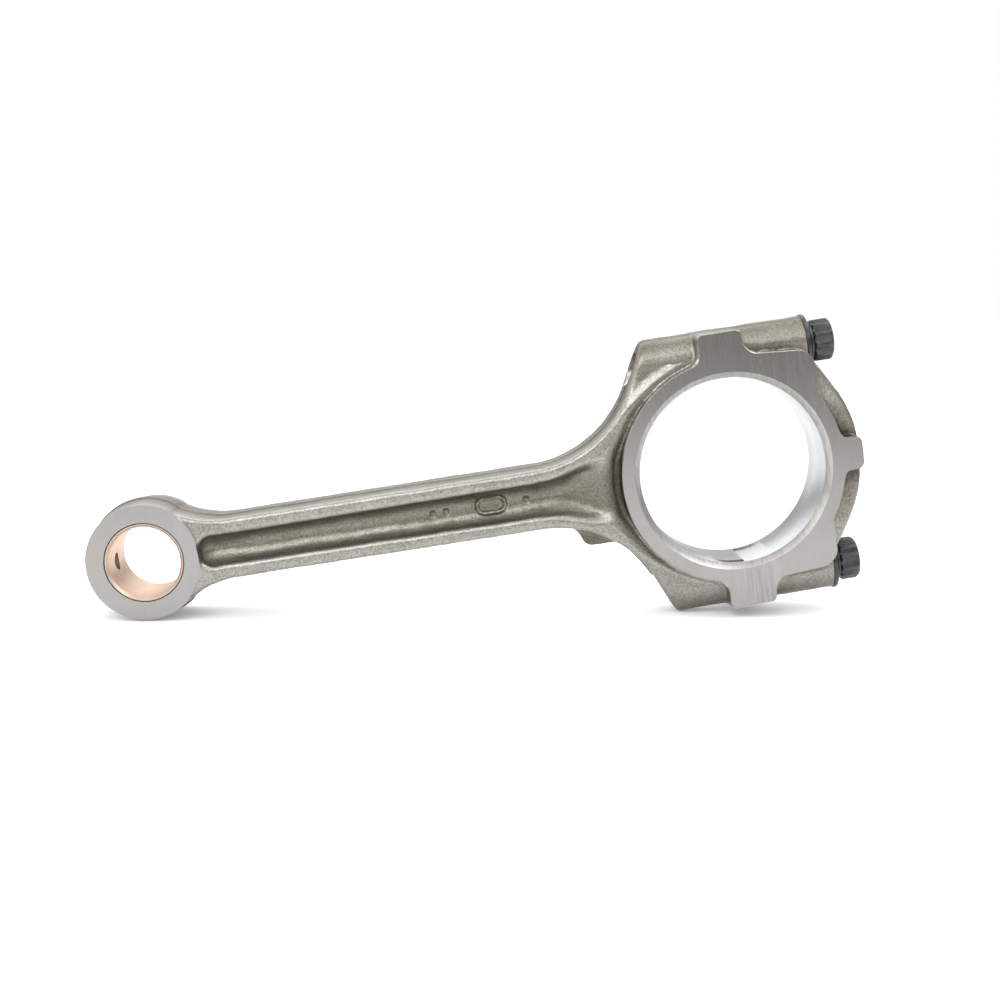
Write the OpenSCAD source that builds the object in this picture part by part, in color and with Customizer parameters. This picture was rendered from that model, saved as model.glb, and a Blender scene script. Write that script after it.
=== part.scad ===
// Connecting rod with a two-bolt bearing cap, for a small four-cylinder engine.
// Origin: centre of the crankpin bore, halfway through its width.
// +X runs along the rod from the small end to the cap, +Y along both bores, +Z across the two cap bolts.

/* [Main sizes] */
// Distance between the two bore centres
centre_distance = 150; // [135:1:170]
// Housing bore of the big end, without bearing shells
big_bore_d = 47; // [46:0.5:48]
// Machined width of the big end
big_end_width = 21.4; // [20:0.2:24]
// Machined width of the small end
small_end_width = 19.2; // [18.6:0.2:20]
// Width of the forged beam
forging_width = 17.6; // [16:0.2:18.4]

/* [Small end] */
// Diameter of the floating pin's bore in the bush
pin_bore_d = 18; // [17:0.5:18.4]
// Wall of the bush
bush_wall = 1; // [0.8:0.1:1.2]
// Outer diameter of the small end at its two faces
small_end_d = 29.2; // [28:0.2:32]
// Growth of the small end's radius towards its middle, from the forging draft
small_end_draft = 0.75; // [0.2:0.05:1]
// Width of the thicker band round the small end's middle
small_end_band = 9.6; // [4:0.4:14]
// Oil hole through the ring and its bush
oil_hole_d = 4.5; // [2:0.5:5]

/* [Beam] */
// Half the beam's height beside the small end
beam_half_small = 7.5; // [6:0.1:8]
// Half the beam's height beside the big end
beam_half_big = 7.6; // [6.5:0.1:8.5]
// Radius that blends the small end into the beam
small_blend_r = 26; // [20:1:30]
// Radius that flares the beam into the bolt shoulders
flare_r = 29.4; // [28:0.2:31]
// Thickness of the beam's two flanges
flange_t = 3; // [2.4:0.1:3.4]
// Thickness of the web between the two pockets
web_t = 9.2; // [4:0.2:10]

/* [Big end] */
// Outer diameter of the machined thrust rim
rim_d = 56.6; // [55.6:0.2:57.4]
// Chamfer of the housing bore
bore_chamfer = 1.5; // [0.5:0.1:1.8]
// Radius of the cap's forged back
cap_back_r = 33.4; // [32:0.2:34]
// Width of the forging around the cap's back
cap_forging_width = 16; // [14:0.2:18]
// Height of the balance pad on the cap's back
pad_height = 8.4; // [6:0.2:12]

/* [Cap bolts] */
// Distance between the two bolt axes
bolt_spread = 57.4; // [57.2:0.1:58.6]
// Bolt shank diameter, over the thread
bolt_d = 8; // [7.5:0.1:8]
// Length of the bolt under its flange
bolt_length = 42; // [36:0.5:43]
// Diameter of the bolt's flange
bolt_flange_d = 14.2; // [12.6:0.2:14.4]
// Size of the twelve-point head across its points
bolt_head_d = 11.2; // [10:0.2:11.6]
// Distance of the bolt seats from the parting face
seat_x = 23; // [21.6:0.2:23.2]

/* [Hidden] */
$fn = 96;

big_r = big_bore_d / 2;
rim_r = rim_d / 2;
ring_r = small_end_d / 2;
pin_r = pin_bore_d / 2;
bush_r = pin_r + bush_wall;
bolt_z = bolt_spread / 2;
small_x = -centre_distance;

// outline of the forging, for the half above the centre line
shoulder_r = 6.6;
shoulder_x = -17.8;
shoulder_z = bolt_z + shoulder_r;
shoulder_width = 13;
shoulder_blend_z = bolt_z - 4;
shoulder_cut_x = 26;
flare_x = -49.5;
flare_z = beam_half_big + flare_r;
blend_z = beam_half_small + small_blend_r;
blend_overlap = 0.15;
blend_x = small_x + sqrt(pow(ring_r + small_blend_r - blend_overlap, 2) - pow(blend_z, 2));
blend_angle = atan2(blend_z, blend_x - small_x);
shoulder_way = [shoulder_x - flare_x, shoulder_z - flare_z];
flare_end = atan2(shoulder_way[1], shoulder_way[0]) - acos(flare_r / norm(shoulder_way));

// pockets on both sides of the web
pocket_end_r = 4.5;
pocket_left_x = small_x + ring_r + 1.2;
pocket_wall_r = rim_r + 2.4;
pocket_wall_turn = 9.5;
pocket_arc_r = flare_r + flange_t;
pocket_arc_turn = 24;
pocket_corner_r = 3;
pocket_corner_x = -33.3;
pocket_corner_z = 4.6;

// machined faces of the big end
ear_z = 35;
rod_ear_x = 5;
cap_ear_x = 6.5;
rod_ear_fillet = 3;
cap_ear_fillet = 3.8;
cap_corner_r = 4.5;
cap_edge_x = 23.6;
cap_top_z = 27.8;
cap_back_turn = 30;
pad_x = cap_back_r - 0.9;
boss_r = 6.8;

// bolts, their holes and the dowels
shank_clearance = 0.25;
thread_clearance = 0.05;
seat_cutter_r = 7.6;
flange_t_bolt = 1.7;
head_end_x = 30.5;
bolt_tip_chamfer = 0.8;
dowel_r = 4.8;
dowel_bore_r = 4.2;
dowel_length = 9;
dowel_pocket = 4.7;
dowel_slip = 0.02;

// oil jet in its boss under the flare
jet_r = 0.9;
jet_boss_width = 8;
jet_tip = [-38.4, -14];
jet_aim = [-23, -4.6];

// small machined details
ring_chamfer = 0.3;
bush_inset = 0.1;
tang_cutter_r = 12;
tang_depth = 1.3;
tang_width = 3;
rod_tang_y = -7.5;
cap_tang_y = 6.6;
cut = 100;

function arc(x, z, r, from, to, steps) =
    [for (i = [0:steps]) let (a = from + (to - from) * i / steps) [x + r * cos(a), z + r * sin(a)]];
function below(points) = [for (i = [len(points) - 1:-1:0]) [points[i][0], -points[i][1]]];
function both(points) = concat(points, below(points));

rod_half = concat(
    arc(blend_x, blend_z, small_blend_r, blend_angle - 180, -90, 8),
    arc(flare_x, flare_z, flare_r, -90, flare_end, 12),
    [[shoulder_x, shoulder_z], [0, shoulder_z]]
);

pocket_half = concat(
    arc(pocket_left_x + pocket_end_r, 0, pocket_end_r, 176, 92, 7),
    arc(flare_x, flare_z, pocket_arc_r, -90, -90 + pocket_arc_turn, 8),
    arc(pocket_corner_x, pocket_corner_z, pocket_corner_r, 95, 15, 4),
    arc(0, 0, pocket_wall_r, 180 - pocket_wall_turn, 179, 4)
);

rod_fillet_x = -rod_ear_x - rod_ear_fillet;
rod_fillet_z = sqrt(pow(rim_r + rod_ear_fillet, 2) - pow(rod_fillet_x, 2));
rod_fillet_angle = atan2(rod_fillet_z, rod_fillet_x);
rod_face_half = concat(
    arc(0, 0, rim_r, 179, rod_fillet_angle, 24),
    arc(rod_fillet_x, rod_fillet_z, rod_ear_fillet, rod_fillet_angle - 180, 0, 6),
    [[-rod_ear_x, ear_z], [0, ear_z]]
);

cap_edge_angle = acos(cap_edge_x / rim_r);
pad_angle = asin(pad_height / 2 / rim_r);
cap_face_half = concat(
    [[0, ear_z], [cap_ear_x, ear_z]],
    arc(cap_ear_x + cap_ear_fillet, cap_top_z + cap_ear_fillet, cap_ear_fillet, 180, 270, 6),
    arc(cap_edge_x - cap_corner_r, cap_top_z - cap_corner_r, cap_corner_r, 90, 0, 6),
    arc(0, 0, rim_r, cap_edge_angle, pad_angle, 8),
    [[pad_x, pad_height / 2]]
);

cap_forging_half = concat(
    [[0, cap_top_z], [seat_x, cap_top_z]],
    arc(0, 0, cap_back_r, cap_back_turn, 1, 9)
);

// extrudes an outline drawn in X and Z through a width along Y
module through(width) {
    rotate([90, 0, 0])
        linear_extrude(height = width, center = true)
            children();
}

// a round bar along X from one place to another
module bar(from, to, r) {
    translate([from, 0, 0])
        rotate([0, 90, 0])
            cylinder(h = to - from, r = r);
}

// a round bar along Y, centred on the XZ plane
module cross_bar(width, r) {
    rotate([90, 0, 0])
        cylinder(h = width, r = r, center = true);
}

module at_bolts() {
    for (side = [-1, 1])
        translate([0, 0, side * bolt_z])
            children();
}

module at_faces(width) {
    for (side = [-1, 1])
        translate([0, side * width / 2, 0])
            rotate([side * 90, 0, 0])
                children();
}

// the housing bore, with a chamfer at both faces
module big_bore() {
    cross_bar(cut, big_r);
    at_faces(big_end_width)
        cylinder(h = bore_chamfer * 2, r1 = big_r + bore_chamfer * 2, r2 = big_r, center = true);
}

// a notch for a bearing shell's tang, at the lower edge of the parting face
module tang_notch(y) {
    translate([0, y, -big_r - tang_depth + tang_cutter_r])
        cross_bar(tang_width, tang_cutter_r);
}

module dowel_seat(slip) {
    at_bolts()
        bar(-dowel_pocket, dowel_pocket, dowel_r + slip);
}

module oil_hole() {
    translate([small_x, 0, 0])
        bar(-ring_r - 3, 0, oil_hole_d / 2);
}

module oil_jet() {
    reach = jet_aim - jet_tip;
    translate([jet_tip[0], 0, jet_tip[1]])
        rotate([0, -atan2(reach[1], reach[0]), 0])
            bar(-6, norm(reach) + 3, jet_r);
}

module jet_boss() {
    through(jet_boss_width)
        polygon([[-44, -6], [-42, -10], jet_tip, [-35, -14.4], [-29, -14.4], [-27, -10]]);
}

// the blank of beam and flare, narrowed beside the bolts
module beam() {
    difference() {
        through(forging_width)
            polygon(both(rod_half));
        for (side = [-1, 1])
            for (face = [-1, 1])
                translate([
                    cut / 2 - shoulder_cut_x,
                    face * (shoulder_width + cut) / 2,
                    side * (shoulder_blend_z + cut / 2)
                ])
                    cube(cut, center = true);
    }
}

module pockets() {
    depth = (forging_width - web_t) / 2;
    for (side = [-1, 1])
        translate([0, side * (web_t + forging_width) / 4, 0])
            through(depth)
                polygon(both(pocket_half));
}

// the ring, with a thicker band where the forging dies met
module small_end_ring() {
    translate([small_x, 0, 0]) {
        cross_bar(small_end_width, ring_r);
        cross_bar(small_end_band, ring_r + small_end_draft);
    }
}

module bush_bore() {
    translate([small_x, 0, 0]) {
        cross_bar(cut, bush_r);
        at_faces(small_end_width)
            cylinder(h = ring_chamfer * 2, r1 = bush_r + ring_chamfer * 2, r2 = bush_r, center = true);
    }
}

module rod_beam() {
    color([0.56, 0.54, 0.5])
        difference() {
            union() {
                beam();
                jet_boss();
                small_end_ring();
                through(big_end_width)
                    polygon(both(rod_face_half));
            }
            pockets();
            big_bore();
            bush_bore();
            oil_hole();
            oil_jet();
            tang_notch(rod_tang_y);
            at_bolts()
                bar(-cut, 1, bolt_d / 2 + thread_clearance);
            dowel_seat(0);
        }
}

module bearing_cap() {
    color([0.62, 0.61, 0.58])
        difference() {
            union() {
                through(big_end_width)
                    polygon(both(cap_face_half));
                through(cap_forging_width)
                    polygon(both(cap_forging_half));
                at_bolts()
                    bar(0, seat_x, boss_r);
            }
            big_bore();
            tang_notch(cap_tang_y);
            at_bolts() {
                bar(-1, cut, bolt_d / 2 + shank_clearance);
                bar(seat_x, cut, seat_cutter_r);
            }
            dowel_seat(dowel_slip);
        }
}

module small_end_bush() {
    length = small_end_width - 2 * bush_inset;
    color([0.82, 0.62, 0.42])
        difference() {
            translate([small_x, 0, 0])
                cross_bar(length, bush_r);
            translate([small_x, 0, 0]) {
                cross_bar(cut, pin_r);
                at_faces(length)
                    cylinder(h = ring_chamfer * 2, r1 = pin_r + ring_chamfer * 2, r2 = pin_r, center = true);
            }
            oil_hole();
        }
}

module cap_bolt(side) {
    tip_x = seat_x - bolt_length;
    head_x = seat_x + flange_t_bolt;
    color([0.16, 0.17, 0.19])
        translate([0, 0, side * bolt_z]) {
            bar(tip_x + bolt_tip_chamfer, seat_x, bolt_d / 2);
            translate([tip_x, 0, 0])
                rotate([0, 90, 0])
                    cylinder(h = bolt_tip_chamfer, r1 = bolt_d / 2 - bolt_tip_chamfer, r2 = bolt_d / 2);
            bar(seat_x, head_x, bolt_flange_d / 2);
            for (turn = [0, 30])
                translate([head_x, 0, 0])
                    rotate([turn, 0, 0])
                        rotate([0, 90, 0])
                            cylinder(h = head_end_x - head_x, d = bolt_head_d, $fn = 6);
        }
}

module cap_bolt_upper() {
    cap_bolt(1);
}

module cap_bolt_lower() {
    cap_bolt(-1);
}

module ring_dowel(side) {
    color([0.7, 0.7, 0.72])
        translate([0, 0, side * bolt_z])
            difference() {
                bar(-dowel_length / 2, dowel_length / 2, dowel_r);
                bar(-dowel_length, dowel_length, dowel_bore_r);
            }
}

module ring_dowel_upper() {
    ring_dowel(1);
}

module ring_dowel_lower() {
    ring_dowel(-1);
}

rod_beam();
bearing_cap();
small_end_bush();
cap_bolt_upper();
cap_bolt_lower();
ring_dowel_upper();
ring_dowel_lower();
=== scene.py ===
"""Looks for the connecting rod: forged blanks cut by machining, detailed fasteners, studio.

Lengths are in millimetres while a shape is being worked out, and in metres once it is a mesh.
+X runs along the rod towards the cap, +Y along the bores away from the camera, +Z across the bolts.
"""
import math

import bmesh
import bpy
import numpy as np
from mathutils import Matrix, Vector


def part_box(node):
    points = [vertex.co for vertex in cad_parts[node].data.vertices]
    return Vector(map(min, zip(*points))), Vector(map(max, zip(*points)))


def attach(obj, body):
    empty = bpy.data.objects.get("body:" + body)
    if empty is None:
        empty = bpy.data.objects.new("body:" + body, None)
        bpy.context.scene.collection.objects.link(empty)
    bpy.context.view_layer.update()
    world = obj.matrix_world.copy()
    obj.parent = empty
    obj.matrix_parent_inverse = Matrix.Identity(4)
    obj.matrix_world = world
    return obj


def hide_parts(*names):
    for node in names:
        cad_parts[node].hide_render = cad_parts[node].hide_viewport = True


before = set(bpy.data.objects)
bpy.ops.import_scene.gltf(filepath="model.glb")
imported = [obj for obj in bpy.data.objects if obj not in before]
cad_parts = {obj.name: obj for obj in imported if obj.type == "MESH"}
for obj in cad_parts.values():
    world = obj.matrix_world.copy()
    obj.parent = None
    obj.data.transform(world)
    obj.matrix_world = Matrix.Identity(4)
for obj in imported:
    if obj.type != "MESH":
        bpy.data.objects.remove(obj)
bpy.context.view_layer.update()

MM = 0.001


# ------------------------------------------------------------------ sizes, from the CAD model
def box_mm(node):
    """(lowest corner, highest corner) of a CAD node, in millimetres."""
    low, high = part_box(node)
    return np.array(low) / MM, np.array(high) / MM


rod_low, _ = box_mm("rod_beam")
_, cap_high = box_mm("bearing_cap")
bush_low, bush_high = box_mm("small_end_bush")
bolt_low, bolt_high = box_mm("cap_bolt_upper")
dowel_low, dowel_high = box_mm("ring_dowel_upper")

BUSH_INSET, BOLT_LENGTH = 0.1, 42

SMALL_X = (bush_low[0] + bush_high[0]) / 2
BUSH_R = (bush_high[0] - bush_low[0]) / 2
BUSH_HALF = bush_high[1]
RING_HALF = BUSH_HALF + BUSH_INSET
FACE_Y = cap_high[1]
BOLT_Z = (bolt_low[2] + bolt_high[2]) / 2
FLANGE_R = (bolt_high[2] - bolt_low[2]) / 2
BOLT_TIP_X = bolt_low[0]
HEAD_END_X = bolt_high[0]
SEAT_X = BOLT_TIP_X + BOLT_LENGTH
DOWEL_R = (dowel_high[2] - dowel_low[2]) / 2
DOWEL_HALF = dowel_high[0]

# most of the rest is part.scad's own, and a few values are refined here
BORE_R, BORE_CHAMFER = 23.5, 1.5
BACK_R = 33.25
PIN_R = 9.0
RIM_R, RING_R = 28.3, 14.6
BEAM_HALF_Y, WEB_HALF = 8.8, 4.6
BEAM_SMALL, BEAM_BIG = 7.5, 7.6
BLEND_R, FLARE_R, FLARE_X = 26.0, 29.4, -49.5
BLEND_Z = BEAM_SMALL + BLEND_R
BLEND_X = SMALL_X + math.sqrt((RING_R + BLEND_R - 0.15) ** 2 - BLEND_Z**2)
FLARE_Z = BEAM_BIG + FLARE_R
EAR_Z, ROD_EAR_X, CAP_EAR_X, CAP_EAR_LOW_X = 35.0, 5.0, 6.2, 6.8
PLATE_X, PLATE_Z = 23.6, 27.8
PAD_HALF, PAD_CORNER, PAD_FILLET = 4.2, 1.6, 1.4
ROD_EAR_LOW, CAP_EAR_LOW = 35.3, 34.6
EAR_CORNER, PLATE_CORNER, ROD_FILLET, CAP_FILLET = 1.4, 4.5, 3.0, 3.8
PLATE_LEAN = 0.08
SHOULDER_X, SHOULDER_Z = -17.8, 35.3
BOSS_R = 35.5 - BOLT_Z
POCKET_SMALL, POCKET_BIG, POCKET_TIP_X, FLANGE_T = 4.05, 4.45, SMALL_X + 17.6, 3.05
MARK_X = -61.6
HEAD_R = 5.55
TANG_R, TANG_HALF = 12.0, 1.5
TANG_Z = TANG_R - 1.3 - BORE_R
ROD_TANG_Y, CAP_TANG_Y = -7.5, 6.6
OIL_HOLE_R = 2.25
TAPPED_R, CLEARANCE_R = 4.05, 4.25
DOWEL_POCKET, DOWEL_BORE_R = 4.7, 4.3
SEAT_CUTTER_R = 7.5
JET_TIP, JET_AIM, JET_R = (-38.4, -14.0), (-23.0, -4.6), 0.9
DRAFT = 0.03
STOCK = 0.9  # left on the forgings for the machining
EAR_STOCK_Z = 35.6
FAR = 60  # beyond the big end on every side
MIDDLE_X = -80  # between the two ends
EDGE_BREAK = 0.16  # on the outlines of the machined faces


# ------------------------------------------------------------------ distance fields
def rmax(a, b, r):
    """Both solids at once, with the edge between them rounded to radius r."""
    corner = np.hypot(np.maximum(a + r, 0), np.maximum(b + r, 0))
    return np.minimum(-r, np.maximum(a, b)) + corner


def rmin(a, b, r):
    """Either solid, with a fillet of radius r where they meet."""
    return -rmax(-a, -b, r)


def ramp(v, low, high):
    t = np.clip((v - low) / (high - low), 0, 1)
    return t * t * (3 - 2 * t)


def wobble(x, y, z, wave, amount, seed):
    """Smooth unevenness, as hammered and blasted steel has."""
    k = 2 * math.pi / wave
    turn = np.random.RandomState(seed)
    total = 0
    for _ in range(7):
        d = turn.normal(size=3)
        d *= k * turn.uniform(0.6, 1.7) / np.linalg.norm(d)
        total = total + np.sin(x * d[0] + y * d[1] + z * d[2] + turn.uniform(0, 6.28))
    return total * amount / 3


def flare(x, az):
    """The flare's side: an arc that runs on straight to the shoulder's corner."""
    way = np.array([SHOULDER_X - FLARE_X, SHOULDER_Z - FLARE_Z])
    turn = math.atan2(way[1], way[0]) - math.acos(FLARE_R / np.linalg.norm(way))
    out, along = (math.cos(turn), math.sin(turn)), (-math.sin(turn), math.cos(turn))
    dx, dz = x - FLARE_X, az - FLARE_Z
    straight = FLARE_R - dx * out[0] - dz * out[1]
    return np.where(dx * along[0] + dz * along[1] > 0, straight, FLARE_R - np.hypot(dx, dz))


def rod_outline(x, az):
    """Plan of the rod's forging at its face: ring, blend, beam, flare."""
    slope = (BEAM_BIG - BEAM_SMALL) / (FLARE_X - BLEND_X)
    beam = az - BEAM_SMALL - slope * (x - BLEND_X)
    side = np.where(
        x < BLEND_X,
        BLEND_R - np.hypot(x - BLEND_X, az - BLEND_Z),
        np.where(x < FLARE_X, beam, flare(x, az)),
    )
    side = np.maximum(side, SMALL_X + 8 - x)
    ring = np.hypot(x - SMALL_X, az) - RING_R + 0.25
    return np.minimum(side, ring)


def rod_face(x, z):
    """Plan of the rod half's machined face at the big end. Its lower ear is a little longer."""
    ear = rmax(-ROD_EAR_X - x, np.maximum(z - EAR_Z, -z - ROD_EAR_LOW), EAR_CORNER)
    return rmin(np.hypot(x, z) - RIM_R, ear, ROD_FILLET)


def cap_face(x, z):
    """Plan of the cap's machined face: ear, plate, rim and balance pad."""
    az = np.abs(z)
    plate = rmax(x - PLATE_X, az - PLATE_Z - PLATE_LEAN * (PLATE_X - PLATE_CORNER - x), PLATE_CORNER)
    ear_x = np.where(z > 0, CAP_EAR_X, CAP_EAR_LOW_X)
    ear = rmax(x - ear_x, np.maximum(z - EAR_Z, -z - CAP_EAR_LOW), EAR_CORNER)
    face = rmin(plate, ear, CAP_FILLET)
    face = np.minimum(face, np.hypot(x, az) - RIM_R)
    pad = rmax(np.maximum(np.hypot(x, az) - BACK_R + 0.3, -x), az - PAD_HALF, PAD_CORNER)
    return rmin(face, pad, PAD_FILLET)


def pocket(x, ay, az):
    """The pocket beside the web: a trough that slopes up towards the rim."""
    depth = BEAM_HALF_Y - ay
    half = POCKET_SMALL + (POCKET_BIG - POCKET_SMALL) * ramp(x, SMALL_X + 20, FLARE_X)
    side = np.where(x < FLARE_X, az - half, FLARE_R + FLANGE_T - np.hypot(x - FLARE_X, az - FLARE_Z))
    side = rmax(side, az - 7.6, 2.5)
    side = np.where(x < POCKET_TIP_X, np.hypot(x - POCKET_TIP_X, az) - half, side) + 0.3 * depth
    end = (RIM_R + 2.4 - np.hypot(x, az) + 1.3 * depth) * 0.61
    wide = ramp(x, -62, -42)
    foot = 2.7 + 1.1 * wide + 0.8 * (1 - ramp(x, SMALL_X + 18, SMALL_X + 26))
    return rmax(rmax(side, end, 2.0 + 2.0 * wide), WEB_HALF - ay, foot)


def raised_mark(x, z):
    """Height of a generic oval mark and three pips on the pocket's floor."""
    u, v = x - MARK_X, z - 0.2
    oval = np.abs(np.hypot(np.maximum(np.abs(u) - 1.7, 0), v) - 1.9)
    raised = 1 - ramp(oval, 0.25, 0.65)
    for pip in (-15, -11.5, 9):
        raised = np.maximum(raised, 1 - ramp(np.hypot(u - pip, v), 0.45, 0.95))
    return 0.42 * raised


def slope_down(away, ay, foot, rise):
    """Everything under a slope that rises from height foot at a machined outline."""
    return (ay - foot - rise * np.maximum(away, -0.5)) / np.sqrt(1 + rise**2)


def flash(ay):
    """The trimmed flash, a low flat ridge where the dies met."""
    return 0.32 * (1 - ramp(ay, 1.0, 1.7))


def rod_blank(x, y, z):
    ay, az = np.abs(y), np.abs(z)
    wall = rod_outline(x, az) - DRAFT * (BEAM_HALF_Y - ay) - flash(ay) * (1 - ramp(az, 27, 33))
    lean = (BEAM_HALF_Y - BOSS_R) * ramp(az, 16, BOLT_Z)
    lean = lean - 0.66 * (1 - ramp(x, SMALL_X + 14, SMALL_X + 21))
    rim = rod_face(x, z)
    lean = lean - 0.75 * (1 - ramp(rim, 1.0, 4.0)) * ramp(az, 15, 21)
    sides = np.where(az < BOLT_Z, ay - BEAM_HALF_Y + lean, np.hypot(ay, az - BOLT_Z) - BOSS_R)
    blank = rmax(sides, wall, 1.1)
    web = pocket(x, ay + raised_mark(x, z) * (y < 0), az)
    blank = rmax(blank, -web, 1.0 + 1.2 * ramp(x, -46, -38))
    # the forging slopes down towards the machined rim, more steeply beside the bolt bosses
    beside = ramp(az, 5, 14)
    blank = rmax(blank, slope_down(rim, ay, 6.7 + 0.5 * beside, 0.46 + 0.44 * beside), 1.0)
    blank = rmin(blank, rmax(rim - 0.03 * (FACE_Y - ay), ay - FACE_Y - 1.5, 0.5), 1.8 - 1.1 * beside)
    # the ring stands a little proud of the beam
    ring_r = RING_R - 0.95 * ramp(x, SMALL_X + 8, SMALL_X + 13.5)
    ring_flash = flash(ay) * (1 - ramp(x, SMALL_X + 7, SMALL_X + 12))
    ring = np.hypot(x - SMALL_X, az) - ring_r - 0.06 * (RING_HALF - ay) - ring_flash
    near_beam = 0.02 + 0.9 * ramp(x, SMALL_X + 9, SMALL_X + 13) * ramp(ay, 6, 8)
    blank = rmin(blank, rmax(ring, ay - RING_HALF - 1.0, 0.6), near_beam)
    # oil jet boss, on the lower side only
    down = -z
    jet = rmax((x + 39.8) * -0.94 + (down - 12.3) * 0.34, down - 14.3, 1.7)
    jet = np.maximum(np.maximum(jet, x + 27), 4 - down)
    blank = rmin(blank, rmax(jet, ay - 4.0, 0.5), 0.9 + 1.3 * (1 - ramp(x, -40, -37)))
    return np.maximum(np.maximum(blank, x - STOCK), az - EAR_STOCK_Z)


def cap_blank(x, y, z):
    ay, az = np.abs(y), np.abs(z)
    turn = math.radians(30)
    tangent = x * math.cos(turn) + az * math.sin(turn)
    around = np.where(az > x * math.tan(turn), tangent, np.hypot(x, az)) - BACK_R + 0.03 * ay
    wall = rmax(around, az - PLATE_Z, 1.0)
    body = rmax(wall - 0.25 * flash(ay), ay - 8.0, 1.0)
    boss = np.maximum(np.hypot(ay, az - BOLT_Z) - BOSS_R, x - SEAT_X - 1)
    body = rmin(body, boss, 1.0)
    face = cap_face(x, z)
    beside = ramp(az, 23, 26)
    body = rmax(body, slope_down(face, ay, 7.2 - 0.9 * beside, 0.15 + 0.35 * beside), 0.8)
    body = rmin(body, rmax(face - 0.01 * (FACE_Y - ay), ay - FACE_Y - 1.5, 0.5), 0.6)
    return np.maximum(np.maximum(body, -x - STOCK), az - EAR_STOCK_Z)


# ------------------------------------------------------------------ meshes from fields
CORNERS = [(i, j, k) for i in (0, 1) for j in (0, 1) for k in (0, 1)]
EDGES = [
    (a, b)
    for a in range(8)
    for b in range(a + 1, 8)
    if sum(abs(CORNERS[a][i] - CORNERS[b][i]) for i in range(3)) == 1
]


def surface(field, low, high, step):
    """Points and quads of the surface where field is zero."""
    axes = [np.arange(low[i], high[i] + step, step) for i in range(3)]
    d = field(*np.meshgrid(*axes, indexing="ij", sparse=True))
    inside = d < 0
    shape = tuple(n - 1 for n in d.shape)
    part = lambda grid, c: grid[c[0] : c[0] + shape[0], c[1] : c[1] + shape[1], c[2] : c[2] + shape[2]]
    count = sum(part(inside, c).astype(np.int8) for c in CORNERS)
    active = np.argwhere((count > 0) & (count < 8))
    index = np.full(shape, -1, np.int64)
    index[tuple(active.T)] = np.arange(len(active))
    at = [d[tuple((active + c).T)] for c in CORNERS]
    total, hits = np.zeros((len(active), 3)), np.zeros(len(active))
    for a, b in EDGES:
        cross = (at[a] < 0) != (at[b] < 0)
        t = np.where(cross, at[a] / np.where(cross, at[a] - at[b], 1), 0)
        corner_a, corner_b = np.array(CORNERS[a], float), np.array(CORNERS[b], float)
        total += cross[:, None] * (corner_a + t[:, None] * (corner_b - corner_a))
        hits += cross
    points = (active + total / hits[:, None]) * step + np.array(low)
    quads = []
    for axis in range(3):
        u, v = (axis + 1) % 3, (axis + 2) % 3
        ahead = np.take(inside, range(1, d.shape[axis]), axis)
        behind = np.take(inside, range(d.shape[axis] - 1), axis)
        found = np.argwhere(ahead != behind)
        inward = behind[tuple(found.T)]
        ring = []
        for du, dv in ((-1, -1), (0, -1), (0, 0), (-1, 0)):
            cell = found.copy()
            cell[:, u] += du
            cell[:, v] += dv
            ring.append(index[tuple(cell.T)])
        ring = np.stack(ring, 1)
        ring[~inward] = ring[~inward][:, ::-1]
        quads.append(ring)
    return points, np.concatenate(quads)


def settle(field, points, rounds, reach):
    """Moves points onto the surface along the field's gradient."""
    for _ in range(rounds):
        x, y, z = points.T
        h = 0.04
        slope = np.stack([
            field(x + h, y, z) - field(x - h, y, z),
            field(x, y + h, z) - field(x, y - h, z),
            field(x, y, z + h) - field(x, y, z - h),
        ], 1) / (2 * h)
        size = np.maximum((slope**2).sum(1), 0.2)
        move = -(field(x, y, z) / size)[:, None] * slope
        points = points + np.clip(move, -reach, reach)
    return points


def new_object(name, points, faces):
    mesh = bpy.data.meshes.new(name)
    mesh.from_pydata((np.asarray(points, float) * MM).tolist(), [], [list(map(int, f)) for f in faces])
    mesh.validate()
    mesh.update()
    piece = bpy.data.objects.new(name, mesh)
    bpy.context.scene.collection.objects.link(piece)
    return piece


def forge(name, field, low, high, step, seed):
    """A forging as a mesh, with the unevenness of a real forged and blasted skin."""
    points, quads = surface(field, low, high, step)
    points = settle(field, points, 3, step / 2)

    def rough(x, y, z):
        return field(x, y, z) + wobble(x, y, z, 9, 0.05, seed) + wobble(x, y, z, 3, 0.022, seed + 1)

    points = settle(rough, points, 1, 0.15)
    return new_object(name, points, quads)


# ------------------------------------------------------------------ cutters and turned parts
def turned_mesh(profile, steps=128):
    """Points and faces of a closed profile of (radius, height) pairs turned round the height axis.
    A profile that starts and ends at radius 0 is a solid; otherwise it closes on itself as a ring."""
    solid = profile[0][0] == 0
    angles = np.arange(steps) * 2 * math.pi / steps
    points, rows = [], []
    for r, h in profile:
        if r == 0:
            rows.append([len(points)] * steps)
            points.append((0, 0, h))
        else:
            rows.append(list(range(len(points), len(points) + steps)))
            points += [(r * math.cos(a), r * math.sin(a), h) for a in angles]
    faces = []
    for i in range(len(rows) - (1 if solid else 0)):
        a, b = rows[i], rows[(i + 1) % len(rows)]
        for j in range(steps):
            k = (j + 1) % steps
            face = [a[j], a[k], b[k], b[j]]
            faces.append(list(dict.fromkeys(face)))
    return np.array(points, float), faces


def turned(name, profile, axis, centre, steps=128):
    """Turns profile round an axis through centre. axis is "x" or "y"."""
    points, faces = turned_mesh(profile, steps)
    if axis == "x":
        points = points[:, [2, 0, 1]]
    else:
        points = points[:, [1, 2, 0]]
    piece = new_object(name, points + np.array(centre, float), faces)
    outward(piece)
    return piece


def outward(piece):
    """Makes every face look outwards."""
    work = bmesh.new()
    work.from_mesh(piece.data)
    bmesh.ops.recalc_face_normals(work, faces=work.faces)
    work.to_mesh(piece.data)
    work.free()


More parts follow.
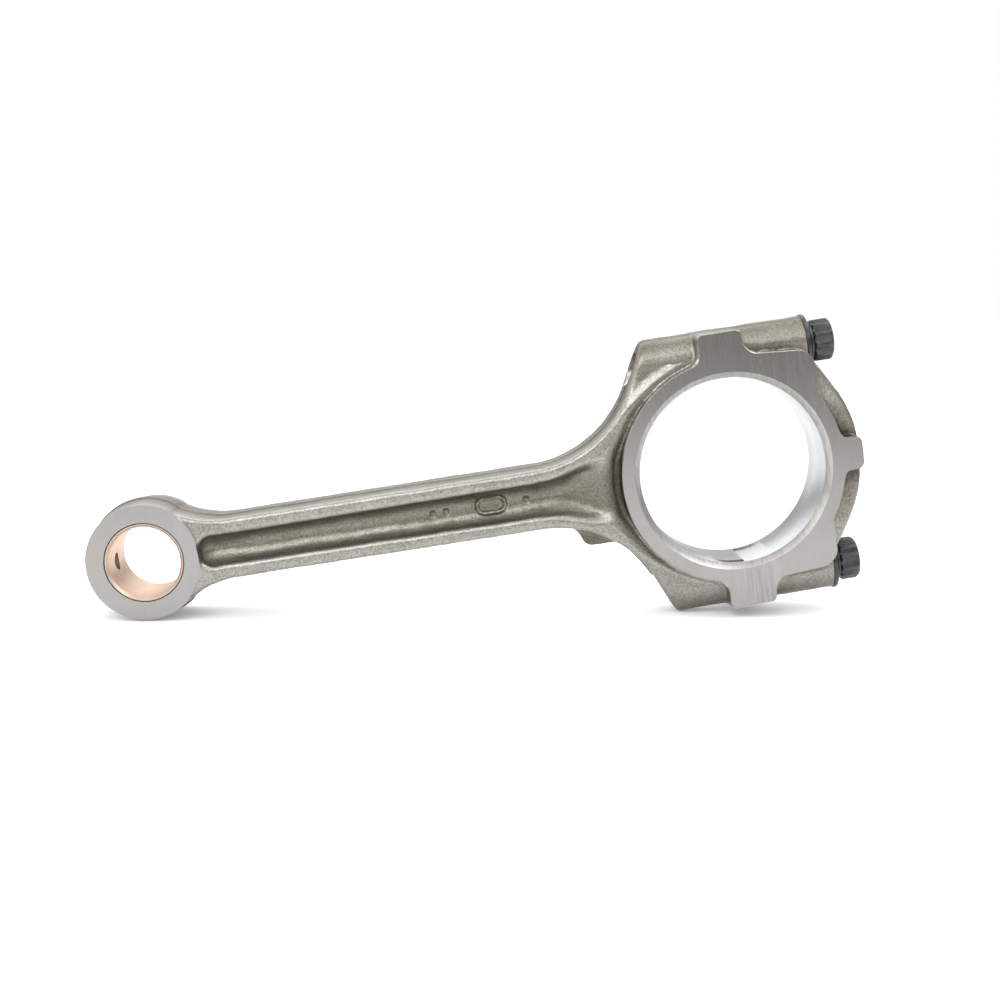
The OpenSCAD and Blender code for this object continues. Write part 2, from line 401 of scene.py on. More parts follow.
def block(low, high):
    points = [[(low, high)[c[i]][i] for i in range(3)] for c in CORNERS]
    faces = [(0, 1, 3, 2), (4, 6, 7, 5), (0, 4, 5, 1), (2, 3, 7, 6), (0, 2, 6, 4), (1, 5, 7, 3)]
    piece = new_object("cutter", points, faces)
    outward(piece)
    return piece


def swept(path, section, side):
    """A bar of constant section along an open path in X and Z.
    section is (offset from the path, height along Y) pairs; side mirrors it in Y."""
    path = np.array(path, float)
    tangent = np.gradient(path, axis=0)
    tangent /= np.linalg.norm(tangent, axis=1)[:, None]
    normal = np.stack([-tangent[:, 1], tangent[:, 0]], 1)
    points, faces = [], []
    for p, n in zip(path, normal):
        points += [(p[0] + n[0] * o, side * h, p[1] + n[1] * o) for o, h in section]
    m = len(section)
    for i in range(len(path) - 1):
        for j in range(m):
            k = (j + 1) % m
            faces.append((i * m + j, i * m + k, (i + 1) * m + k, (i + 1) * m + j))
    faces.append(list(range(m)))
    faces.append([len(points) - m + j for j in range(m)][::-1])
    piece = new_object("cutter", points, faces)
    outward(piece)
    return piece


def cut(piece, cutter, how="DIFFERENCE"):
    step = piece.modifiers.new("cut", "BOOLEAN")
    step.operation, step.solver, step.object = how, "MANIFOLD", cutter
    view = bpy.context.evaluated_depsgraph_get()
    result = bpy.data.meshes.new_from_object(piece.evaluated_get(view))
    piece.modifiers.clear()
    old = piece.data
    piece.data = result
    bpy.data.meshes.remove(old)
    spent = cutter.data
    bpy.data.objects.remove(cutter)
    bpy.data.meshes.remove(spent)


def hole(piece, profile, axis, centre, steps=128):
    cut(piece, turned("cutter", profile, axis, centre, steps))


def slanted_hole(piece, start, end, r, before, beyond):
    """A straight hole in the middle plane between two points given by X and Z, and a little past them."""
    way = np.subtract(end, start)
    length = np.linalg.norm(way)
    along = way / length
    points, faces = turned_mesh([(0, -before), (r, -before), (r, length + beyond), (0, length + beyond)], 32)
    x = start[0] + points[:, 2] * along[0] - points[:, 0] * along[1]
    z = start[1] + points[:, 2] * along[1] + points[:, 0] * along[0]
    cutter = new_object("cutter", np.stack([x, points[:, 1], z], 1), faces)
    outward(cutter)
    cut(piece, cutter)


def arc(x, z, r, start, end, steps):
    angles = np.radians(np.linspace(start, end, steps + 1))
    return [(x + r * math.cos(a), z + r * math.sin(a)) for a in angles]


def even(path, gap):
    """The same path with its points a fixed gap apart."""
    path = np.array(path, float)
    along = np.concatenate([[0], np.cumsum(np.linalg.norm(np.diff(path, axis=0), axis=1))])
    at = np.linspace(0, along[-1], max(2, int(along[-1] / gap)))
    return np.stack([np.interp(at, along, path[:, i]) for i in (0, 1)], 1)


def break_edge(piece, path, half, size, seed):
    """Breaks the edge of a machined face along its outline, a little unevenly."""
    path = even(path, 0.5)
    rng = np.random.RandomState(seed)
    drift = np.convolve(rng.normal(size=len(path) + 8), np.ones(9) / 9, "valid")
    for side in (-1, 1):
        tangent = np.gradient(path, axis=0)
        tangent /= np.linalg.norm(tangent, axis=1)[:, None]
        normal = np.stack([-tangent[:, 1], tangent[:, 0]], 1)
        wavy = path + normal * drift[:, None] * 0.07
        section = [(-size - 0.4, half + 0.4), (1.0, half + 0.4), (1.0, half - size - 1.0)]
        cut(piece, swept(wavy, section, side))


def bore_profile(r, half, chamfer, beyond=3.0):
    """A through bore with a chamfer at both ends."""
    wide = r + chamfer
    ends = [(wide, half + beyond), (wide, half), (r + 0.06, half - chamfer + 0.02), (r, half - chamfer - 0.1)]
    lower = [(a, -b) for a, b in reversed(ends)]
    return [(0, half + beyond)] + ends + lower + [(0, -half - beyond)]


# ------------------------------------------------------------------ rod and cap
STEP = 0.4


def face_off(piece, side, height, low_x, high_x):
    """Machines one side of a forging down to a height along Y, between two places along X."""
    near, out = sorted((side * height, side * FAR))
    cut(piece, block((low_x, near, -FAR), (high_x, out, FAR)))


def tang_notch(piece, y):
    """The notch that a shell's tang drops into, as a disc cutter leaves it."""
    r, half, edge = TANG_R, TANG_HALF, 0.15
    disc = [(0, half), (r - edge, half), (r, half - edge), (r, edge - half), (r - edge, -half), (0, -half)]
    hole(piece, disc, "y", (0, y, TANG_Z))


def at_bolts(piece, profile, steps):
    """The same hole round both bolt axes."""
    for side in (-1, 1):
        hole(piece, profile, "x", (0, 0, side * BOLT_Z), steps)


def bolt_drill(piece, r, low, high):
    at_bolts(piece, [(0, low), (r, low), (r, high), (0, high)], 64)


def oil_hole(piece):
    """The oil hole at the small end's outer side, from the outside to the middle of the bore."""
    start = SMALL_X - 20
    hole(piece, [(0, start), (OIL_HOLE_R, start), (OIL_HOLE_R, SMALL_X), (0, SMALL_X)], "x", (0, 0, 0), 64)


def make_rod():
    rod = forge("rod_forging", rod_blank, (rod_low[0] - 1, -13.2, -37), (1.3, 13.2, 37), STEP, 11)
    for side in (-1, 1):
        face_off(rod, side, FACE_Y, -FAR, FAR)
        face_off(rod, side, RING_HALF, SMALL_X - 50, SMALL_X + 40)
    cut(rod, block((0, -FAR, -FAR), (FAR, FAR, FAR)))
    fillet_x = -ROD_EAR_X - ROD_FILLET
    fillet_z = math.sqrt((RIM_R + ROD_FILLET) ** 2 - fillet_x**2)
    turn = math.degrees(math.atan2(fillet_z, fillet_x))
    halves = []
    for ear in (EAR_Z, ROD_EAR_LOW):
        halves.append(
            arc(0, 0, RIM_R, 180, turn, 60)
            + arc(fillet_x, fillet_z, ROD_FILLET, turn - 180, 0, 12)[1:]
            + arc(EAR_CORNER - ROD_EAR_X, ear - EAR_CORNER, EAR_CORNER, 180, 90, 8)
            + [(2, ear)]
        )
    path = [(x, -z) for x, z in reversed(halves[1])] + halves[0][1:]
    break_edge(rod, path, FACE_Y, EDGE_BREAK, 5)
    hole(rod, bore_profile(BORE_R, FACE_Y, BORE_CHAMFER), "y", (0, 0, 0), 256)
    hole(rod, bore_profile(BUSH_R, RING_HALF, 0.12), "y", (SMALL_X, 0, 0), 160)
    bolt_drill(rod, TAPPED_R, -FAR, 2)
    mouth = DOWEL_R + 0.4
    at_bolts(rod, [
        (0, -DOWEL_POCKET), (DOWEL_R, -DOWEL_POCKET), (DOWEL_R, -0.35), (mouth, 0.05), (mouth, 1), (0, 1),
    ], 72)
    tang_notch(rod, ROD_TANG_Y)
    oil_hole(rod)
    slanted_hole(rod, JET_TIP, JET_AIM, JET_R, 6, 3)
    return rod


def make_cap():
    cap = forge("cap_forging", cap_blank, (-1.3, -13.2, -37), (cap_high[0] + 1.3, 13.2, 37), STEP, 23)
    for side in (-1, 1):
        face_off(cap, side, FACE_Y, -FAR, FAR)
    cut(cap, block((-FAR, -FAR, -FAR), (0, FAR, FAR)))
    turn = math.degrees(math.acos(PLATE_X / RIM_R))
    low_turn = math.degrees(math.asin((PAD_HALF + PAD_FILLET) / RIM_R))
    halves = []
    for ear, ear_x in ((EAR_Z, CAP_EAR_X), (CAP_EAR_LOW, CAP_EAR_LOW_X)):
        foot = PLATE_Z + PLATE_LEAN * (PLATE_X - PLATE_CORNER - ear_x - CAP_FILLET)
        halves.append(
            [(-2, ear)]
            + arc(ear_x - EAR_CORNER, ear - EAR_CORNER, EAR_CORNER, 90, 0, 8)
            + arc(ear_x + CAP_FILLET, foot + CAP_FILLET, CAP_FILLET, 180, 270, 14)
            + arc(PLATE_X - PLATE_CORNER, PLATE_Z - PLATE_CORNER, PLATE_CORNER, 90, 0, 14)
            + arc(0, 0, RIM_R, turn, low_turn + 1, 24)
            + [(RIM_R + 1.6, PAD_HALF + 0.1), (RIM_R + 2.4, PAD_HALF)]
            + arc(BACK_R - 2.0, PAD_HALF - PAD_CORNER, PAD_CORNER, 80, 8, 8)
        )
    path = halves[0] + [(x, -z) for x, z in reversed(halves[1])]
    break_edge(cap, path, FACE_Y, EDGE_BREAK, 6)
    seat_r = SEAT_CUTTER_R
    at_bolts(cap, [(0, SEAT_X), (seat_r - 0.2, SEAT_X), (seat_r, SEAT_X + 0.3), (seat_r, FAR), (0, FAR)], 96)
    hole(cap, bore_profile(BORE_R, FACE_Y, BORE_CHAMFER), "y", (0, 0, 0), 256)
    bolt_drill(cap, CLEARANCE_R, -2, 30)
    mouth, slip = DOWEL_R + 0.4, DOWEL_R + 0.02
    at_bolts(cap, [
        (0, -1), (mouth, -1), (mouth, -0.05), (slip, 0.35), (slip, DOWEL_POCKET), (0, DOWEL_POCKET),
    ], 96)
    tang_notch(cap, CAP_TANG_Y)
    return cap


def facts(mesh):
    """Centres, in millimetres, and normals of a mesh's faces."""
    n = len(mesh.polygons)
    centre, normal = np.zeros(n * 3), np.zeros(n * 3)
    mesh.polygons.foreach_get("center", centre)
    mesh.polygons.foreach_get("normal", normal)
    return centre.reshape(-1, 3) / MM, normal.reshape(-1, 3)


def finish_forging(piece, field, materials):
    """Gives each face the finish of the tool that made it: forged, ground, honed or drilled."""
    mesh = piece.data
    mesh.materials.clear()
    for m in materials:
        mesh.materials.append(m)
    c, n = facts(mesh)
    kind = np.where(np.abs(field(*c.T)) < 0.12, 0, 3)
    flat = np.abs(n[:, 1]) > 0.995
    ay = np.abs(c[:, 1])
    kind[flat & (np.abs(ay - FACE_Y) < 0.02) & (c[:, 0] > MIDDLE_X)] = 1
    kind[flat & (np.abs(ay - RING_HALF) < 0.02) & (c[:, 0] < MIDDLE_X)] = 1
    kind[(np.abs(np.hypot(c[:, 0], c[:, 2]) - BORE_R) < 0.08) & ~flat] = 2
    kind[(np.abs(c[:, 0]) < 0.01) & (np.abs(n[:, 0]) > 0.99)] = 1
    mesh.polygons.foreach_set("material_index", kind.astype(np.int32))
    mesh.polygons.foreach_set("use_smooth", np.ones(len(mesh.polygons), bool))
    mesh.set_sharp_from_angle(angle=math.radians(38))
    keep_flat(mesh, kind == 1)
    mesh.update()


def keep_flat(mesh, flat):
    """Makes the edges round the flat faces sharp, so that their shading stays even."""
    sizes, edges = np.zeros(len(mesh.polygons), np.int32), np.zeros(len(mesh.loops), np.int32)
    mesh.polygons.foreach_get("loop_total", sizes)
    mesh.loops.foreach_get("edge_index", edges)
    share = np.zeros(len(mesh.edges), np.int32)
    np.add.at(share, edges, np.repeat(flat.astype(np.int32), sizes))
    sharp = np.zeros(len(mesh.edges), bool)
    mesh.edges.foreach_get("use_edge_sharp", sharp)
    mesh.edges.foreach_set("use_edge_sharp", sharp | (share == 1))


# ------------------------------------------------------------------ materials
def node(tree, kind, inputs=None, **settings):
    made = tree.nodes.new("ShaderNode" + kind)
    for name, value in settings.items():
        setattr(made, name, value)
    for name, value in (inputs or {}).items():
        if isinstance(value, bpy.types.NodeSocket):
            tree.links.new(value, made.inputs[name])
        else:
            made.inputs[name].default_value = value
    return made


def new_material(name):
    material = bpy.data.materials.new(name)
    material.use_nodes = True
    tree = material.node_tree
    tree.nodes.clear()
    out = node(tree, "OutputMaterial")
    shader = node(tree, "BsdfPrincipled")
    tree.links.new(shader.outputs[0], out.inputs[0])
    where = node(tree, "TexCoord").outputs["Object"]
    return material, tree, shader, where


def noise(tree, where, size, detail=4, rough=0.6, stretch=(1, 1, 1)):
    """Noise whose features are about size millimetres."""
    spread = node(tree, "Mapping", {"Vector": where, "Scale": [s / (size * MM) for s in stretch]})
    settings = {"Vector": spread.outputs[0], "Scale": 1.0, "Detail": detail, "Roughness": rough}
    return node(tree, "TexNoise", settings).outputs["Fac"]


def colours(tree, value, stops):
    """A colour ramp over value; stops are (place, colour or grey) pairs."""
    ramp_node = node(tree, "ValToRGB", {"Fac": value})
    elements = ramp_node.color_ramp.elements
    while len(elements) < len(stops):
        elements.new(0.5)
    for e, (at, colour) in zip(elements, stops):
        e.position = at
        e.color = (*colour, 1) if not isinstance(colour, float) else (colour, colour, colour, 1)
    return ramp_node.outputs[0]


def mix(tree, a, b, by, how="MIX"):
    m = node(tree, "Mix", data_type="RGBA", blend_type=how)
    for socket, value in ((m.inputs[0], by), (m.inputs[6], a), (m.inputs[7], b)):
        if isinstance(value, bpy.types.NodeSocket):
            tree.links.new(value, socket)
        else:
            socket.default_value = value if isinstance(value, float) else (*value, 1)
    return m.outputs[2]


def bump(tree, height, distance, strength=1.0, under=None):
    made = node(tree, "Bump", {"Height": height, "Distance": distance * MM, "Strength": strength})
    if under is not None:
        tree.links.new(under, made.inputs["Normal"])
    return made.outputs[0]


def tinted(tree, where, size, low, high):
    """A base colour that drifts between two tones over patches of the given size."""
    return colours(tree, noise(tree, where, size, 5), [(0.32, low), (0.68, high)])


def maths(tree, operation, *values):
    return node(tree, "Math", dict(enumerate(values)), operation=operation).outputs[0]


def between(tree, value, start, end):
    """Runs from 0 at start to 1 at end, which are in millimetres."""
    return node(tree, "MapRange", {"Value": value, "From Min": start * MM, "From Max": end * MM}).outputs[0]


def band(tree, where, axis, half, soft):
    """1 where an object coordinate is within half millimetres of zero, else 0."""
    value = node(tree, "SeparateXYZ", {"Vector": where}).outputs[axis]
    return between(tree, maths(tree, "ABSOLUTE", value), half + soft, half)


def mark_and_shade(tree, colour, by, mask):
    """Multiplies a colour by another one where mask is 1, for real marks and for painted shade."""
    return mix(tree, colour, mix(tree, colour, by, 1.0, "MULTIPLY"), mask)


def polished(tree, shader, colour, roughness, normal, metallic=1.0):
    """Connects a metal's colour, roughness and bump."""
    tree.links.new(colour, shader.inputs["Base Color"])
    tree.links.new(roughness, shader.inputs["Roughness"])
    tree.links.new(normal, shader.inputs["Normal"])
    shader.inputs["Metallic"].default_value = metallic


def forged_steel():
    material, tree, shader, where = new_material("forged_steel")
    grains = noise(tree, where, 0.45, 3, 0.7)
    streaks = noise(tree, where, 2.2, 4, 0.6, (0.4, 1, 1))
    colour = tinted(tree, where, 8, (0.3, 0.292, 0.262), (0.355, 0.347, 0.322))
    speck = colours(tree, grains, [
        (0.36, (0.7, 0.69, 0.65)), (0.5, (1.0, 1.0, 1.0)), (0.64, (1.26, 1.26, 1.24)),
    ])
    colour = mix(tree, colour, speck, 1.0, "MULTIPLY")
    place = node(tree, "SeparateXYZ", {"Vector": where}).outputs
    flat = node(tree, "VectorMath", {0: where, 1: (1, 0, 1)}, operation="MULTIPLY").outputs["Vector"]
    from_bore = node(tree, "VectorMath", {0: flat}, operation="LENGTH").outputs["Value"]
    # painted shade where the forging lies deep, within about 8 mm of the middle plane: strongest in the
    # pockets
    colour = mark_and_shade(tree, colour, (0.6, 0.57, 0.53), band(tree, where, 1, 4.6, 3.6))
    # painted shade, with some dark oxide skin, in the trough round the rim: darkest just beside the rim, and
    # only within about 15 mm of the bore's centre in Z
    scale_and_shade = colours(tree, between(tree, from_bore, RIM_R, RIM_R + 5), [
        (0.0, (0.62, 0.6, 0.57)), (0.14, (0.24, 0.23, 0.215)), (0.3, (0.5, 0.485, 0.46)),
        (0.45, (0.52, 0.5, 0.475)), (1.0, (1.0, 1.0, 1.0)),
    ])
    colour = mark_and_shade(tree, colour, scale_and_shade, band(tree, where, 2, 7, 8))
    # painted shade on the pocket's slope up to the trough, growing towards the rim
    slope = between(tree, from_bore, RIM_R + 15, RIM_R + 6)
    slope = maths(tree, "MULTIPLY", slope, band(tree, where, 2, 4, 4))
    colour = mark_and_shade(tree, colour, (0.66, 0.64, 0.6), slope)
    # painted shade on the oil jet's boss under the beam, which sits back behind the flange
    boss = between(tree, place[2], -9.6, -10.4)
    boss = maths(tree, "MULTIPLY", boss, band(tree, where, 1, 3.9, 0.3))
    boss = maths(tree, "MULTIPLY", boss, between(tree, place[0], -24, -29))
    boss = maths(tree, "MULTIPLY", boss, between(tree, place[0], -54, -48))
    colour = mark_and_shade(tree, colour, (0.6, 0.62, 0.64), boss)
    # painted shade: dark lines at both sides of the trimmed flash, along its flanks
    flash_shade = maths(tree, "SUBTRACT", band(tree, where, 1, 2.4, 0.6), band(tree, where, 1, 0.9, 0.6))
    colour = mark_and_shade(tree, colour, (0.54, 0.53, 0.52), flash_shade)
    roughness = colours(tree, streaks, [(0.3, 0.42), (0.7, 0.32)])
    polished(tree, shader, colour, roughness, bump(tree, streaks, 0.08, 0.6, bump(tree, grains, 0.08, 0.85)))
    return material


def ground_steel():
    material, tree, shader, where = new_material("ground_steel")
    fine = noise(tree, where, 0.35, 3, 0.7, (1, 1, 0.05))
    tint = colours(tree, noise(tree, where, 12, 3), [
        (0.3, (0.31, 0.296, 0.285)), (0.45, (0.323, 0.317, 0.307)),
        (0.6, (0.33, 0.316, 0.309)), (0.75, (0.343, 0.343, 0.336)),
    ])
    # milling marks on the lower ears, beside the parting line
    place = node(tree, "SeparateXYZ", {"Vector": where}).outputs
    across = maths(tree, "ABSOLUTE", maths(tree, "ADD", place[0], -3.5 * MM))
    here = maths(tree, "MULTIPLY", between(tree, across, 7, 3), between(tree, place[2], -23, -27))
    marks = colours(tree, noise(tree, where, 0.9, 4, 0.75, (1, 1, 0.05)), [
        (0.36, (0.8, 0.8, 0.8)), (0.5, (1.0, 1.0, 1.0)), (0.66, (1.16, 1.16, 1.16)),
    ])
    roughness = colours(tree, fine, [(0.3, 0.23), (0.7, 0.28)])
    polished(tree, shader, mark_and_shade(tree, tint, marks, here), roughness, bump(tree, fine, 0.003, 0.25))
    return material


def honed_steel():
    material, tree, shader, where = new_material("honed_steel")
    lines = noise(tree, where, 0.9, 3, 0.5, (1, 0.05, 1))
    broad = noise(tree, where, 10, 4)
    colour = colours(tree, broad, [(0.3, (0.42, 0.43, 0.435)), (0.7, (0.48, 0.49, 0.5))])
    roughness = colours(tree, lines, [(0.3, 0.3), (0.7, 0.36)])
    polished(tree, shader, colour, roughness, bump(tree, lines, 0.003, 0.3))
    return material


def drilled_steel():
    material, tree, shader, where = new_material("drilled_steel")
    rings = noise(tree, where, 0.5, 2, 0.5, (1, 0.1, 0.1))
    colour = colours(tree, rings, [(0.3, (0.44, 0.43, 0.41)), (0.7, (0.56, 0.55, 0.53))])
    roughness = colours(tree, rings, [(0.3, 0.3), (0.7, 0.42)])
    polished(tree, shader, colour, roughness, bump(tree, rings, 0.01, 0.5))
    return material


def bronze():
    material, tree, shader, where = new_material("bush_bronze")
    lines = noise(tree, where, 0.25, 3, 0.6, (1, 0.05, 1))
    broad = noise(tree, where, 5, 4)
    colour = colours(tree, broad, [(0.3, (0.62, 0.46, 0.345)), (0.7, (0.71, 0.54, 0.42))])
    roughness = colours(tree, lines, [(0.3, 0.42), (0.7, 0.5)])
    polished(tree, shader, colour, roughness, bump(tree, lines, 0.004, 0.4))
    return material


def black_oxide():
    material, tree, shader, where = new_material("bolt_steel")
    broad = noise(tree, where, 2.5, 4)
    fine = noise(tree, where, 0.3, 3)
    colour = colours(tree, broad, [(0.3, (0.042, 0.043, 0.045)), (0.7, (0.084, 0.085, 0.086))])
    roughness = colours(tree, fine, [(0.3, 0.27), (0.7, 0.42)])
    polished(tree, shader, colour, roughness, bump(tree, fine, 0.012, 0.5), 0.8)
    return material


# ------------------------------------------------------------------ bush, bolts, dowels
def smooth(piece, angle=30):
    """Smooth shading with sharp edges over an angle, and no materials yet."""
    mesh = piece.data
    mesh.materials.clear()
    mesh.polygons.foreach_set("material_index", np.zeros(len(mesh.polygons), np.int32))
    mesh.polygons.foreach_set("use_smooth", np.ones(len(mesh.polygons), bool))
    mesh.set_sharp_from_angle(angle=math.radians(angle))
    mesh.update()


def make_bush():
    """A steel-backed bush: bronze inside, steel where its ends are cut."""
    half, outer, inner = BUSH_HALF - 0.15, BUSH_R, PIN_R
    slope = outer - inner - 0.38
    profile = [
        (inner, half - slope), (inner + slope, half), (outer - 0.2, half), (outer - 0.1, half - 0.8),
        (outer, half - 1), (outer, 1 - half), (outer - 0.1, 0.8 - half), (outer - 0.2, -half),
        (inner + slope, -half), (inner, slope - half),
    ]
    bush = turned("bush", profile, "y", (SMALL_X, 0, 0), 192)
    oil_hole(bush)
    smooth(bush)
    mesh = bush.data
    mesh.materials.append(BRONZE)
    mesh.materials.append(DRILLED)
    c, _ = facts(mesh)
    lining = np.hypot(c[:, 0] - SMALL_X, c[:, 2]) < inner + slope - 0.02
    mesh.polygons.foreach_set("material_index", np.where(lining, 0, 1).astype(np.int32))
    keep_flat(mesh, np.abs(np.abs(c[:, 1]) - half) < 0.01)
    mesh.update()
    return bush


def make_dowel(name, z):
    h, inner = DOWEL_HALF, DOWEL_BORE_R
    profile = [
        (inner, h - 0.3), (inner + 0.2, h), (DOWEL_R - 0.3, h), (DOWEL_R, h - 0.5),
        (DOWEL_R, 0.5 - h), (DOWEL_R - 0.3, -h), (inner + 0.2, -h), (inner, 0.3 - h),
    ]
    dowel = turned(name, profile, "x", (0, 0, z), 96)
    smooth(dowel)
    return dowel


def star(angles, r):
    """Radius of a twelve-point head: two hexagons a twelfth of a turn apart."""
    sixth = math.pi / 3
    apothem = r * 0.84
    first = apothem / np.cos(((angles + sixth / 2) % sixth) - sixth / 2)
    second = apothem / np.cos((angles % sixth) - sixth / 2)
    return r - (apothem / math.cos(sixth / 2) - np.maximum(first, second)) * 1.25


def bolt_mesh(name, z, turn):
    """A bolt along X with a rolled thread, a flange and a dished twelve-point head."""
    sides, pitch, per_pitch = 96, 1.0, 8
    root, thread_depth, shank, neck_r = 3.42, 0.54, 3.96, 3.75
    angles = np.arange(sides) * 2 * math.pi / sides
    points, faces = [], []

    def ring(x, r):
        """One closed row of points round the bolt."""
        x, r = np.broadcast_to(x, sides), np.broadcast_to(r, sides)
        base = len(points)
        for a, xx, rr in zip(angles + turn, x, r):
            points.append((xx, rr * math.cos(a), z + rr * math.sin(a)))
        return list(range(base, base + sides))

    def join(a, b):
        for j in range(sides):
            k = (j + 1) % sides
            faces.append((a[j], a[k], b[k], b[j]))

    thread_start, thread_end, neck = BOLT_TIP_X + 0.75, -1.0, SEAT_X - 1.2
    rows = [ring(BOLT_TIP_X, 2.6), ring(BOLT_TIP_X + 0.05, 2.75), ring(thread_start, 3.4)]
    steps = int(round((thread_end - thread_start) / pitch * per_pitch))
    for k in range(1, steps):
        x = thread_start + k * pitch / per_pitch
        phase = (x / pitch - angles / (2 * math.pi)) % 1
        tooth = np.clip(2.4 * (1 - np.abs(2 * phase - 1)) - 0.55, 0, 1)
        rows.append(ring(x, root + thread_depth * tooth * min(1, k / 5)))
    rows += [ring(x, r) for x, r in (
        (thread_end, 3.5), (thread_end + 0.3, 3.9), (thread_end + 0.4, shank),
        (neck, shank), (neck + 0.2, neck_r), (SEAT_X - 0.25, neck_r), (SEAT_X, 4.0),
        (SEAT_X, FLANGE_R - 0.4), (SEAT_X + 0.08, FLANGE_R - 0.14), (SEAT_X + 0.3, FLANGE_R),
        (SEAT_X + 0.85, FLANGE_R), (SEAT_X + 1.1, FLANGE_R - 0.12), (SEAT_X + 1.65, 5.6),
        (SEAT_X + 1.75, 5.2), (SEAT_X + 1.9, 4.75), (SEAT_X + 2.35, 4.65),
    )]
    star_r = np.minimum(star(angles, HEAD_R), HEAD_R - 0.12)
    rows += [ring(x, np.minimum(star_r, limit)) for x, limit in (
        (SEAT_X + 2.45, 4.8), (SEAT_X + 2.8, 5.3), (SEAT_X + 3.1, HEAD_R), (HEAD_END_X - 1.0, HEAD_R),
        (HEAD_END_X - 0.7, 5.3), (HEAD_END_X - 0.35, 5.0), (HEAD_END_X - 0.1, 4.65), (HEAD_END_X, 4.4),
    )]
    rows += [ring(HEAD_END_X, 3.1), ring(HEAD_END_X - 0.12, 2.95), ring(HEAD_END_X - 0.9, 2.4)]
    for a, b in zip(rows, rows[1:]):
        join(a, b)
    faces.append(rows[0][::-1])
    faces.append(rows[-1])
    bolt = new_object(name, points, faces)
    outward(bolt)
    smooth(bolt, 26)
    return bolt


# ------------------------------------------------------------------ build
def dress(piece, body, slot_name, *nodes):
    """Puts a piece in the place of its CAD nodes."""
    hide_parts(*nodes)
    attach(piece, body)


FORGED, GROUND, HONED, DRILLED = forged_steel(), ground_steel(), honed_steel(), drilled_steel()
BRONZE, OXIDE = bronze(), black_oxide()

rod = make_rod()
finish_forging(rod, rod_blank, [FORGED, GROUND, HONED, DRILLED])
dress(rod, "rod", "forged_steel", "rod_beam")

cap = make_cap()
finish_forging(cap, cap_blank, [FORGED, GROUND, HONED, DRILLED])
dress(cap, "cap", "forged_steel", "bearing_cap")

bush = make_bush()
dress(bush, "rod", "bush_bronze", "small_end_bush")

for side, word in ((1, "upper"), (-1, "lower")):
    bolt = bolt_mesh("bolt_" + word, side * BOLT_Z, 0.2 * side)
    bolt.data.materials.append(OXIDE)
    dress(bolt, "bolt_" + word, "bolt_steel", "cap_bolt_" + word)
    dowel = make_dowel("dowel_" + word, side * BOLT_Z)
    dowel.data.materials.append(DRILLED)
    dress(dowel, "rod", "dowel_steel", "ring_dowel_" + word)


# ------------------------------------------------------------------ studio
FLOOR_TILT = 8.65  # degrees between the floor and the line through the two bores' centres


def place_floor():
    """A pale floor that touches the small end's ring and the lower shoulder."""
    foot = Vector((SHOULDER_X, 0, -SHOULDER_Z - 0.1))
    tilt = math.radians(FLOOR_TILT)
    along = Vector((math.cos(tilt), 0, -math.sin(tilt)))
    across = Vector((0, 1, 0))
    size, front = 3000, -430
    ways = ((-size, front), (size, front), (size, size), (-size, size))
    mesh = bpy.data.meshes.new("floor")
    mesh.from_pydata([(foot + along * a + across * b) * MM for a, b in ways], [], [(0, 1, 2, 3)])
    floor = bpy.data.objects.new("floor", mesh)
    bpy.context.scene.collection.objects.link(floor)
    material, tree, shader, where = new_material("pale_floor")
    shade = colours(tree, noise(tree, where, 300, 2), [(0.3, 0.82), (0.7, 0.86)])
    tree.links.new(shade, shader.inputs["Base Color"])
    shader.inputs["Roughness"].default_value = 0.8
    shader.inputs["Emission Color"].default_value = (1, 1, 1, 1)
    shader.inputs["Emission Strength"].default_value = 0.2
    mesh.materials.append(material)


def area_light(name, at, target, size, power):
    """A round soft light; places and size are in metres, power in watts."""
    data = bpy.data.lights.new(name, "AREA")
    data.shape, data.size, data.energy = "DISK", size, power
    lamp = bpy.data.objects.new(name, data)
    lamp.location = at
    lamp.rotation_mode = "QUATERNION"
    lamp.rotation_quaternion = (Vector(target) - Vector(at)).to_track_quat("-Z", "Y")
    bpy.context.scene.collection.objects.link(lamp)


def fade(tree, value, start, end):
    """Runs smoothly from 0 at start to 1 at end."""
    ends = {"Value": value, "From Min": start, "From Max": end}
    return node(tree, "MapRange", ends, interpolation_type="SMOOTHSTEP").outputs[0]


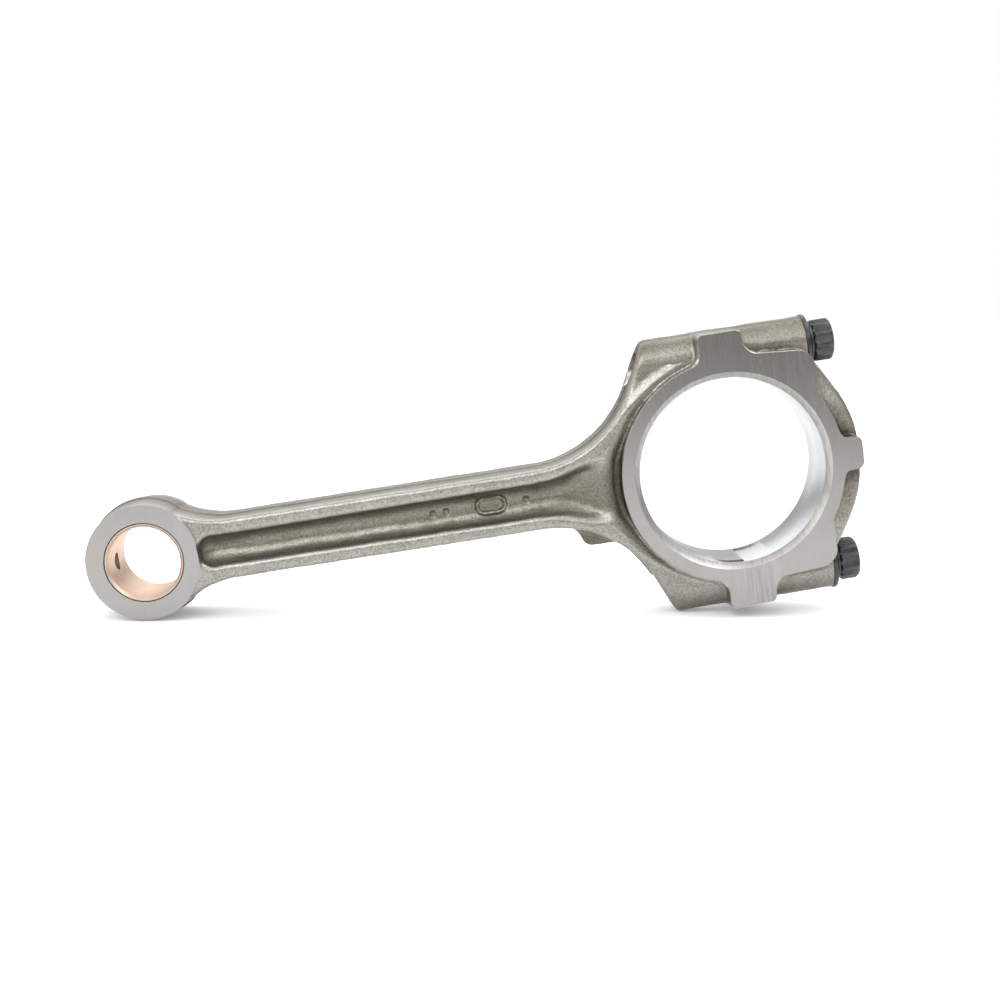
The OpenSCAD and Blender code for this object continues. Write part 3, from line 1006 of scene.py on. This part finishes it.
def light_room():
    """A bright sky over a darker room, whose front the machined faces reflect. The camera sees white."""
    world = bpy.data.worlds.new("studio")
    bpy.context.scene.world = world
    world.use_nodes = True
    tree = world.node_tree
    tree.nodes.clear()
    out = node(tree, "OutputWorld")
    back = node(tree, "Background")
    where = node(tree, "TexCoord").outputs["Generated"]
    parts = node(tree, "SeparateXYZ", {"Vector": where}).outputs
    front = fade(tree, parts["Y"], 0.25, -0.6)
    low = fade(tree, parts["Z"], 0.42, 0.08)
    right = fade(tree, parts["X"], -0.15, 0.6)
    sky = colours(tree, parts["Z"], [(0.0, 0.45), (0.28, 0.75), (0.42, 1.9), (0.62, 2.0), (0.78, 1.1)])
    room = mix(tree, (0.5, 0.465, 0.44), (0.16, 0.15, 0.14), right)
    facing = mix(tree, sky, room, maths(tree, "MULTIPLY", front, low))
    seen = node(tree, "LightPath").outputs["Is Camera Ray"]
    tree.links.new(mix(tree, facing, (1.0, 1.0, 1.0), seen), back.inputs["Color"])
    back.inputs["Strength"].default_value = 1.0
    tree.links.new(back.outputs[0], out.inputs[0])
    area_light("key", (-0.25, -0.6, 0.6), (-0.06, 0, 0), 0.45, 1.9)
    area_light("fill", (0.45, -0.05, 0.65), (-0.03, 0, 0), 0.5, 1.7)
    area_light("back", (-0.05, 0.4, 0.7), (-0.06, 0, 0), 0.6, 1.2)


def place_camera():
    yaw, pitch, roll = (math.radians(a) for a in (0.46, -8.49, -8.78))
    forward = Vector((math.sin(yaw) * math.cos(pitch), math.cos(yaw) * math.cos(pitch), math.sin(pitch)))
    right = Vector((math.cos(yaw), -math.sin(yaw), 0))
    up = right.cross(forward)
    side = right * math.cos(roll) + up * math.sin(roll)
    top = up * math.cos(roll) - right * math.sin(roll)
    data = bpy.data.cameras.new("camera")
    data.lens, data.sensor_width = 52.34, 36
    data.clip_start, data.clip_end = 0.01, 20
    camera = bpy.data.objects.new("camera", data)
    matrix = Matrix((side, top, -forward)).transposed().to_4x4()
    matrix.translation = Vector((-0.0621, -0.371, 0.0558))
    camera.matrix_world = matrix
    bpy.context.scene.collection.objects.link(camera)
    bpy.context.scene.camera = camera


place_floor()
light_room()
place_camera()
bpy.context.scene.view_settings.view_transform = "Standard"
